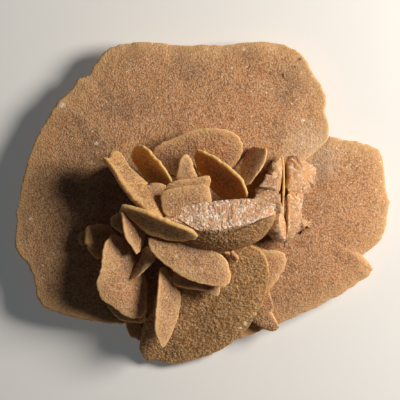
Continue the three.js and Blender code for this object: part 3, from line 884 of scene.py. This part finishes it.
@dataclass(frozen=True)
class GypsumFinish:
    """Gypsum with sand grown into it: matt, speckled by grains, paler and glowing at its thin rims.

    The sand makes the faces matt, with painted shade in the hollows between its grains; here and there
    a clean quartz grain glints, by a lower roughness and by painted pale highlight dots. Light enters
    the thin rims and comes out amber; their paler colour is partly clean gypsum and partly painted glow.
    """

    name: str
    face: str               # colour of a sandy face
    patch: str              # colour of the darker, browner patches
    cloud: str              # colour of the wide, more orange clouds
    groove_shade: str             # colour of the painted shade in the hollows between the grains
    rim: str                # colour of the thin rim: cleaner gypsum, and painted glow of the light through it
    quartz: str             # colour of a pale grain, also used for painted glint dots and for pale flecks that are partly painted highlight
    dark_grain_and_shade: str         # colour of a dark grain, and of the painted shade between grains
    broken: str             # colour of a fresh break
    glow: float             # share of light that travels under the surface
    rim_glow: float = 0.6               # the same at the thin rim
    glow_depth: float = 1.1             # how far it travels, in millimetres
    rim_reach: float = 0.85             # how strongly the rim colour, partly painted glow, shows
    glow_tint: tuple[float, float, float] = (1.0, 0.55, 0.22)   # how far each colour of it travels
    glint: str = "#fff3e4"              # colour of a cleavage face that catches the light
    contrast: float = 0.2               # how much single grains differ from the face
    gap_shade: float = 0.5                    # how dark the painted shade between two grains is
    inclusion: str = "#241a14"          # colour of an odd dark grain
    grain_size: float = 0.45            # millimetres
    speck_spacing: float = 1.25         # millimetres between places where a clean grain, painted as a glinting pale dot, may sit
    patch_size: float = 9.0             # millimetres
    cloud_size: float = 26.0            # millimetres

    def build(self) -> bpy.types.Material:
        """Makes the material.

        Returns:
            A material that reads object coordinates and the crystal's own attributes.
        """
        material = bpy.data.materials.new(self.name)
        graph = Graph(material)
        marks = {name: graph.mark(name) for name in ("rim", "broken", "height", "dark_fleck", "pale_fleck")}
        patches = graph.noise(self.patch_size, detail=5.0)
        clouds = graph.noise(self.cloud_size, detail=3.0)
        fine = graph.noise(self.grain_size * 0.7, detail=3.0)
        cells = graph.cells(self.grain_size)
        specks = graph.cells(self.speck_spacing)
        lot = graph.split(cells.outputs["Color"]).outputs
        draw = graph.split(specks.outputs["Color"]).outputs
        rim = graph.scaled(marks["rim"], self.rim_reach)

        colour = graph.mix(graph.ramp(patches, start=0.40, end=0.68), srgb(self.face), srgb(self.patch))
        colour = graph.mix(graph.ramp(clouds, start=0.45, end=0.68), colour, srgb(self.cloud))
        # painted shade: darker where the grain crust is low, in the hollows between grains
        groove_shade = graph.scaled(graph.ramp(marks["height"], start=0.42, end=0.1), by=0.35)
        colour = graph.mix(groove_shade, colour, srgb(self.groove_shade))
        pale = graph.scaled(graph.ramp(lot["Red"], start=0.45, end=1.0), self.contrast)
        colour = graph.mix(pale, colour, srgb(self.quartz))
        dark = graph.scaled(graph.ramp(lot["Green"], start=0.4, end=0.0), self.contrast)
        colour = graph.mix(dark, colour, srgb(self.dark_grain_and_shade))
        # painted shade between the grain cells, in the dark grains' colour
        gap_shade = graph.scaled(graph.ramp(cells.outputs["Distance"], start=0.4, end=0.8), self.gap_shade)
        colour = graph.mix(gap_shade, colour, srgb(self.dark_grain_and_shade))
        # the rim colour: cleaner gypsum and painted glow of light through the thin rim
        colour = graph.mix(rim, colour, srgb(self.rim))
        # pale grains painted as glints: partly the quartz colour, partly a painted highlight
        dot = graph.ramp(specks.outputs["Distance"], start=0.22, end=0.12)
        chosen = graph.ramp(draw["Red"], start=0.80, end=0.84)
        grain_and_painted_glint = graph.scaled(graph.times(dot, chosen), by=0.7)
        colour = graph.mix(grain_and_painted_glint, colour, srgb(self.quartz))
        # painted highlight: random cleavage facets of a break take the glint colour
        facet = graph.ramp(lot["Red"], start=0.62, end=0.95)
        fresh = graph.mix(facet, srgb(self.broken), srgb(self.glint))
        colour = graph.mix(marks["broken"], colour, fresh)
        colour = graph.mix(marks["dark_fleck"], colour, srgb(self.inclusion))
        # pale flecks: odd pale grains, and on the round front plate partly a painted highlight
        colour = graph.mix(marks["pale_fleck"], colour, srgb(self.quartz))

        clean = graph.ramp(lot["Blue"], start=0.92, end=0.97)
        roughness = graph.between(clean, low=0.85, high=0.38)
        grain_bump = graph.add(
            "ShaderNodeBump", {"invert": True}, {"Distance": self.grain_size * 0.6 * MM},
            {"Height": cells.outputs["Distance"], "Strength": graph.between(rim, low=0.6, high=0.15)})
        fine_bump = graph.add(
            "ShaderNodeBump", {}, {"Distance": self.grain_size * 0.5 * MM},
            {"Height": fine, "Normal": grain_bump.outputs["Normal"],
             "Strength": graph.between(rim, low=0.55, high=0.2)})
        shader = graph.add(
            "ShaderNodeBsdfPrincipled", {"subsurface_method": "RANDOM_WALK"},
            {"IOR": GYPSUM_IOR, "Subsurface Scale": self.glow_depth * MM,
             "Subsurface Radius": self.glow_tint},
            {"Base Color": colour, "Roughness": roughness, "Normal": fine_bump.outputs["Normal"],
             "Subsurface Weight": graph.between(marks["rim"], self.glow, self.rim_glow)})
        graph.add("ShaderNodeOutputMaterial", links={"Surface": shader.outputs["BSDF"]})
        return material


SANDY = GypsumFinish(
    name="gypsum_sandy", face="#d09c6a", patch="#a97b57", cloud="#cd9363", groove_shade="#855a34",
    rim="#e0b47c", quartz="#f6e6cc", dark_grain_and_shade="#5a3a22", broken="#e2b892", glow=0.15)
AMBER = GypsumFinish(
    name="gypsum_amber", face="#d0995e", patch="#ae7d4a", cloud="#cc975c", groove_shade="#704a26",
    rim="#e2b272", quartz="#f4deb8", dark_grain_and_shade="#4a2e18", broken="#e2b892", glow=0.35, rim_glow=0.7,
    glow_depth=2.4, glow_tint=(1.0, 0.85, 0.42), contrast=0.32)
BROKEN = GypsumFinish(
    name="gypsum_broken", face="#c38c54", patch="#a87442", cloud="#c2884f", groove_shade="#7d5430",
    rim="#d9a86e", quartz="#f4dcb8", dark_grain_and_shade="#5a3a22", broken="#e0ad84", glow=0.25)


# ---------------- sub-assemblies


class BladeGroup(ABC):
    """A sub-assembly: crystals that grow from one part of the rose and share their sizes."""

    @abstractmethod
    def crystals(self) -> list[Crystal]:
        """The group's crystals with their sizes, each with the noise that its place gives it."""

    def build(self) -> dict[str, bpy.types.Object]:
        """Grows every crystal.

        Returns:
            CAD node name to the piece that stands for it.
        """
        return {crystal.node: crystal.build() for crystal in self.crystals()}

    @staticmethod
    def dress(pieces: dict[str, bpy.types.Object], finishes: dict[str, bpy.types.Material]) -> None:
        """Gives every piece the finish of the slot that the record names for its node.

        Args:
            pieces: CAD node name to piece.
            finishes: slot name to material.
        """
        slots = {part["node"]: part["material_slot"] for part in frame["record"]["subparts"]}
        for node, piece in pieces.items():
            piece.data.materials.append(finishes[slots[node]])


@dataclass
class BasePlates(BladeGroup):
    """The two wide plates that carry the rest: thick in the middle, nibbled all along the rim."""

    sharp: float = 0.5      # half the thickness of the plates' rim
    nibble: float = 0.95    # how deep that rim is eaten into
    wave: float = 0.4       # height of the slow waves on their faces
    grain: float = 0.12     # height of the sand grains
    rim_width: float = 2.4  # how far in the rim's colour, partly painted glow, runs
    tuck: float = 1.1       # how far the right plate dives to slip under the left one

    def crystals(self) -> list[Crystal]:
        """Sizes up both plates, with the few odd grains that show in their faces.

        Returns:
            The crystals with their sizes.
        """
        plate = {"sharp": self.sharp, "nibble": self.nibble, "wave": self.wave, "grain": self.grain,
                 "rim_width": self.rim_width, "fullness": 1.0, "flatness": 2.0}
        left_grains = (
            Inclusion(24.4, 36.1, 0.42), Inclusion(23.1, 34.1, 0.36), Inclusion(20.1, 32.2, 0.42),
            Inclusion(20.2, 31.6, 0.42), Inclusion(-35.1, 24.5, 0.8, True),
            Inclusion(-26.6, 14.9, 0.5, True), Inclusion(-43.1, -4.0, 0.5, True),
            Inclusion(10.4, 38.5, 0.4, True), Inclusion(25.4, 20.7, 0.4, True),
            Inclusion(26.6, 14.6, 7.0, True, 0.16), Inclusion(22.6, 12.6, 3.0, True, 0.14))
        right_grains = (Inclusion(30.2, 10.6, 5.4, True, 0.13), Inclusion(27.6, 7.4, 2.4, True, 0.16))
        return [Crystal("base_plate_left", cell=0.43, seed=1100, inclusions=left_grains, **plate),
                Crystal("base_plate_right", cell=0.4, seed=1200, overlap=1.0, dive=self.tuck,
                        inclusions=right_grains, **plate)]


@dataclass
class Centre(BladeGroup):
    """The ridge in front, the broken wall across the middle and the blades behind it."""

    fin_edge: float = 0.4   # half the thickness of an amber fin's rim
    fin_rim: float = 2.6    # how far in the amber of a fin's rim, partly painted glow, runs
    ridge_edge: float = 0.6     # half the thickness of the front ridge's rim
    chip_cell: float = 0.25 # mesh cell of the small blades

    def crystals(self) -> list[Crystal]:
        """Sizes up the centre's blades.

        Returns:
            The crystals with their sizes.
        """
        fin = {"sharp": self.fin_edge, "rounding": self.fin_edge, "rim_width": self.fin_rim, "cell": 0.25,
               "fullness": 0.35, "grain": 0.36, "grain_size": FINE_GRAIN, "nibble": 0.9}
        small = {"cell": self.chip_cell, "nibble": 0.6}
        names = ("centre_disc", "centre_ledge", "inner_chip", "back_tooth")
        return [
            Crystal("curved_ridge", seed=100, sharp=self.ridge_edge, rounding=self.ridge_edge,
                    fullness=0.6, rim_width=1.6, nibble=0.8, cell=0.24, grain=0.26,
                    grain_size=FINE_GRAIN),
            Crystal("centre_wall", seed=200, broken=Break.CUT_EDGE, band_rows=26, overlap=0.1, nibble=0.2,
                    cell=0.26, grain=0.3, grain_size=FINE_GRAIN, facing=0.8, fullness=1.0, flatness=2.0),
            *(Crystal(name, seed=300 + 100 * place, **small) for place, name in enumerate(names)),
            Crystal("back_fan", seed=700, cell=0.28, grain=0.24, grain_size=FINE_GRAIN),
            Crystal("amber_fin", seed=800, **fin),
            Crystal("upper_left_fin", seed=900, **fin),
        ]


@dataclass
class LeftSide(BladeGroup):
    """The blades that lean out to the left, and the two upright ones that carry them."""

    thick_edge: float = 0.9 # half the thickness of the long blade's rim
    crumble: float = 1.1    # how deep the chips are eaten into

    def crystals(self) -> list[Crystal]:
        """Sizes up the left side's blades.

        Returns:
            The crystals with their sizes.
        """
        chips = ("left_back_leaf", "left_edge_chip", "left_inner_chip", "left_lower_ledge")
        chip = {"cell": 0.25, "nibble": self.crumble, "wave": 0.45, "grain": 0.2}
        return [
            Crystal("long_left_blade", seed=100, sharp=self.thick_edge, rounding=self.thick_edge + 0.2,
                    rim_width=1.6),
            Crystal("narrow_left_blade", seed=200),
            Crystal("left_upright", seed=250),
            Crystal("heart_blade", seed=270),
            Crystal("left_leaf", seed=300, nibble=0.7),
            *(Crystal(name, seed=400 + 100 * place, **chip) for place, name in enumerate(chips)),
            Crystal("small_front_fin", seed=800),
        ]


@dataclass
class FrontSide(BladeGroup):
    """The blades that lean out to the front, over the round plate below them."""

    plate_edge: float = 0.45    # half the thickness of the round plate's rim
    plate_rim: float = 2.2      # how far in the rim's colour, partly painted glow, runs

    def crystals(self) -> list[Crystal]:
        """Sizes up the front's blades, with pale flecks along the round plate's rim: partly clean gypsum,
        partly a painted highlight where the rim faces the light.

        Returns:
            The crystals with their sizes.
        """
        # pale flecks on the round plate's right rim: partly clean gypsum, partly painted highlight of the
        # lit rim
        clean = tuple(Inclusion(x, y, size, True) for x, y, size in (
            (9.6, -31.4, 0.45), (10.8, -30.2, 0.6), (12.2, -28.6, 0.4), (13.4, -26.4, 0.35)))
        return [
            Crystal("front_leaf", seed=100, cell=0.28, nibble=0.6),
            Crystal("front_leaf_chip", seed=200, cell=0.24),
            Crystal("under_leaf", seed=300, nibble=0.8),
            Crystal("pointed_front_blade", seed=400, cell=0.28, nibble=0.6),
            Crystal("lower_front_plate", seed=500, sharp=self.plate_edge, rounding=self.plate_edge,
                    rim_width=self.plate_rim, cell=0.28, grain=0.3, grain_size=FINE_GRAIN, nibble=0.9,
                    inclusions=clean),
        ]


@dataclass
class RightSide(BladeGroup):
    """The broken stumps and the low lobes in front of them."""

    splinter: float = 0.9   # height of the splinters on a stump
    weld: float = 1.5       # how far the stumps run on into each other
    clean: float = 0.35     # how free of sand they are

    def crystals(self) -> list[Crystal]:
        """Sizes up the right side's blades.

        Returns:
            The crystals with their sizes.
        """
        stump = {"broken": Break.UPPER_FACE, "clean": self.clean, "cell": 0.24, "nibble": 1.2,
                 "jagged": self.splinter, "overlap": self.weld, "dive": 0.0, "fullness": 1.0,
                 "flatness": 2.0}
        return [
            Crystal("right_cross_blade", seed=100),
            *(Crystal(f"right_stump_{part}", seed=200 + 100 * place, **stump)
              for place, part in enumerate(("core", "left", "back", "front"))),
            Crystal("right_crescent", seed=600),
            Crystal("right_front_lobe", seed=700),
            Crystal("right_front_tongue", seed=800, overlap=0.3),
        ]


@dataclass
class Underside(BladeGroup):
    """The blades below the plates, four of them with the worn feet that the rose lies on."""

    cell: float = 0.42      # mesh cell of blades that hardly show
    grain: float = 0.14     # height of the sand grains
    names: tuple[str, ...] = (
        "keel_blade", "left_foot_blade", "right_foot_blade", "back_foot_blade", "under_cross_blade",
        "under_front_left", "under_front_right", "under_left_petal", "under_right_petal",
        "under_back_petal", "under_back_left", "under_back_right")

    def crystals(self) -> list[Crystal]:
        """The underside's blades, all alike but for their noise."""
        return [Crystal(name, seed=100 * (place + 1), cell=self.cell, grain=self.grain)
                for place, name in enumerate(self.names)]


# ---------------- studio


@dataclass(frozen=True)
class Studio:
    """A pale floor, one soft light low on the right, a weak fill, and a long lens straight above."""

    key_azimuth: float = 18.0           # degrees round from +X to +Y
    key_elevation: float = 36.0         # degrees above the floor
    key_distance: float = 0.34
    key_size: float = 0.152
    key_power: float = 1.6
    fill: float = 0.045
    paper_glow: float = 0.09            # light that comes up through the paper
    view_width: float = 1.064           # width of the view, in widths of the rose
    camera_height: float = 1.2
    floor_reach: float = 2.0            # half the side of the floor
    aim: tuple[float, float] = (-0.0006, 0.0007)    # how far the camera stands off the rose's middle
    key_colour: str = "#fff9f0"
    fill_colour: str = "#e6efff"
    paper_colour: str = "#e6e3df"
    paper_glow_colour: str = "#e9f1f2"
    paper_roughness: float = 0.9

    def build(self) -> None:
        """Adds the floor, the light, the fill and the camera."""
        low, high = (np.array(corner) for corner in cad_box)
        self._floor()
        self._light((low + high) / 2.0)
        self._world()
        self._camera(low, high)

    def _floor(self) -> None:
        """A large pale sheet at the level that the rose lies on."""
        corners = np.array([[-1.0, -1.0, 0.0], [1.0, -1.0, 0.0], [1.0, 1.0, 0.0], [-1.0, 1.0, 0.0]])
        floor = mesh_piece("floor", corners * self.floor_reach, np.array([[0, 1, 2, 3]]), {})
        material = bpy.data.materials.new("paper_white")
        material.use_nodes = True
        shader = material.node_tree.nodes["Principled BSDF"]
        shader.inputs["Base Color"].default_value = srgb(self.paper_colour)
        shader.inputs["Roughness"].default_value = self.paper_roughness
        shader.inputs["Emission Color"].default_value = srgb(self.paper_glow_colour)
        shader.inputs["Emission Strength"].default_value = self.paper_glow
        floor.data.materials.append(material)

    def _light(self, middle: Array) -> None:
        """Adds the softbox, facing the rose.

        Args:
            middle: the middle of the rose's box.
        """
        azimuth, elevation = math.radians(self.key_azimuth), math.radians(self.key_elevation)
        level = math.cos(elevation)
        toward = np.array([math.cos(azimuth) * level, math.sin(azimuth) * level, math.sin(elevation)])
        data = bpy.data.lights.new("softbox", "AREA")
        data.shape, data.size, data.energy = "DISK", self.key_size, self.key_power
        data.color = srgb(self.key_colour)[:3]
        lamp = bpy.data.objects.new("softbox", data)
        lamp.location = Vector(middle + toward * self.key_distance)
        lamp.rotation_euler = Vector(toward).to_track_quat("Z", "Y").to_euler()
        bpy.context.scene.collection.objects.link(lamp)

    def _world(self) -> None:
        """An even, slightly cool sky for the fill."""
        world = bpy.data.worlds.new("fill")
        world.use_nodes = True
        sky = world.node_tree.nodes["Background"]
        sky.inputs["Color"].default_value = srgb(self.fill_colour)
        sky.inputs["Strength"].default_value = self.fill
        bpy.context.scene.world = world

    def _camera(self, low: Array, high: Array) -> None:
        """Adds a camera straight above, with a long lens so that the tall blades hardly lean.

        Args:
            low: the lowest corner of the rose's box.
            high: its highest corner.
        """
        data = bpy.data.cameras.new("camera")
        data.lens = data.sensor_width * self.camera_height / (self.view_width * (high[0] - low[0]))
        data.clip_end = self.camera_height * 4.0
        camera = bpy.data.objects.new("camera", data)
        middle = (low + high) / 2.0
        camera.location = Vector(middle + np.array([*self.aim, self.camera_height]))
        bpy.context.scene.collection.objects.link(camera)
        bpy.context.scene.camera = camera
        bpy.context.scene.view_settings.view_transform = "Standard"


def main() -> None:
    """Builds the studio and the rose."""
    logging.basicConfig(level=logging.INFO, format="%(name)s: %(message)s")
    Studio().build()
    finishes = {"sandy_gypsum": SANDY.build(), "amber_gypsum": AMBER.build(),
                "broken_gypsum": BROKEN.build()}
    for group in (BasePlates(), Centre(), LeftSide(), FrontSide(), RightSide(), Underside()):
        pieces = group.build()
        group.dress(pieces, finishes)
        log.info("%s: %d crystals", type(group).__name__, len(pieces))


if __name__ == "__main__":
    main()
